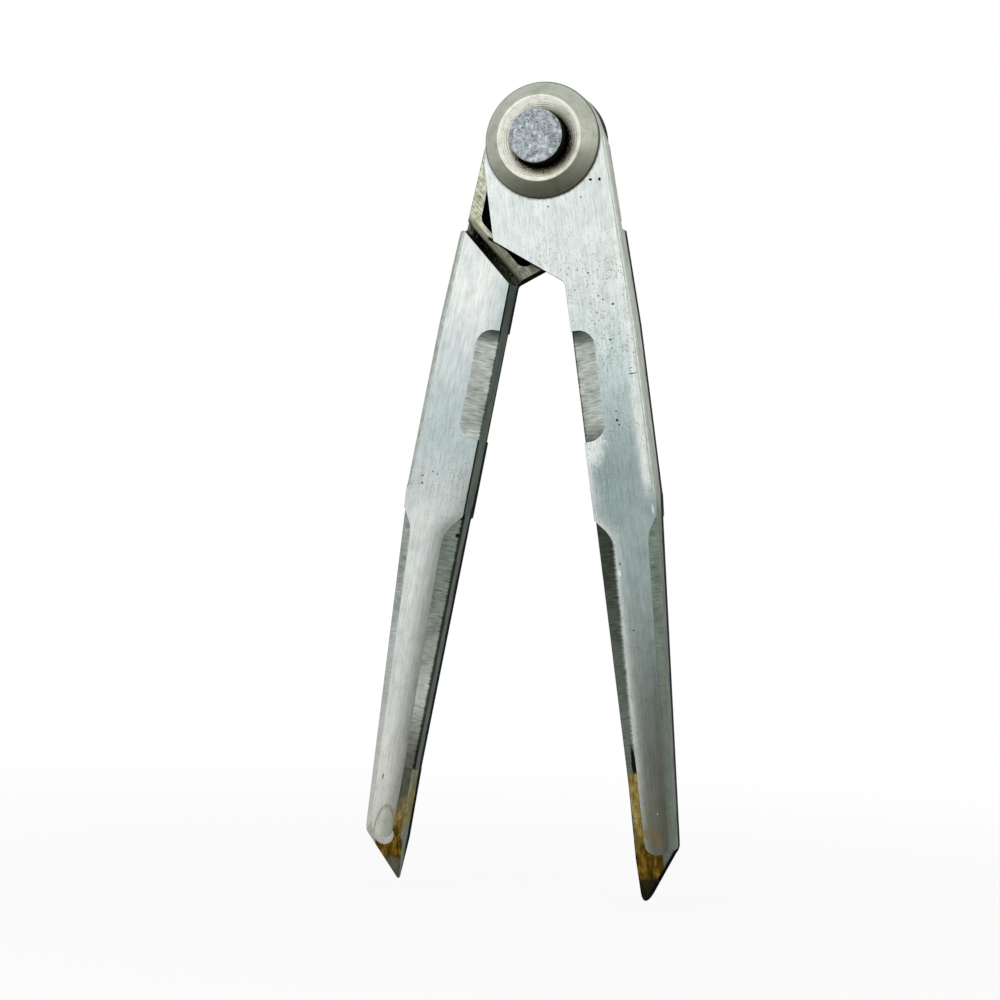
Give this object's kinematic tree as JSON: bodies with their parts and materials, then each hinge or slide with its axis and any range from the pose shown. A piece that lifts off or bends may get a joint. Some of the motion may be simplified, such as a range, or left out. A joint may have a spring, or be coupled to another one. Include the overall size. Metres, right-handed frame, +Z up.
{
  "type": "carbide tip divider",
  "caption": "Firm-joint divider: flat half-lapped steel legs on a stiff pivot pin with conical washers, and brazed carbide points for stepping off and scribing lengths.",
  "frame": {"origin": "middle of the pivot: on the pin's axis, half way through the thickness of the two lapped heads", "axes": "+Z up along the line between the legs, away from the points; +X to the right-hand leg; -Y out of the front face, so the pin lies along Y"},
  "size_m": [0.0588, 0.0174, 0.149],
  "materials": {
    "ground_steel": "ground lengthwise, lightly scratched and pitted",
    "turned_steel": "turned, warm grey",
    "pin_steel": "rough sawn end, oxide flecks",
    "carbide": "ground, dark grey",
    "brazing_brass": "as run, heat-stained",
    "friction_fibre": "black fibre"
  },
  "bodies": {
    "right_half": {"right_leg": "ground_steel", "right_carbide_tip": "carbide", "right_braze": "brazing_brass", "pivot_pin": "pin_steel", "front_washer": "turned_steel", "rear_washer": "turned_steel", "friction_disc": "friction_fibre"},
    "left_half": {"left_leg": "ground_steel", "left_carbide_tip": "carbide", "left_braze": "brazing_brass"}
  },
  "joints": [
    {"name": "leg_hinge", "type": "hinge", "parent": "right_half", "child": "left_half", "pos_m": [0, 0, 0], "axis": [0, 1, 0], "range_deg": [-18.6, 101.2]}
  ]
}
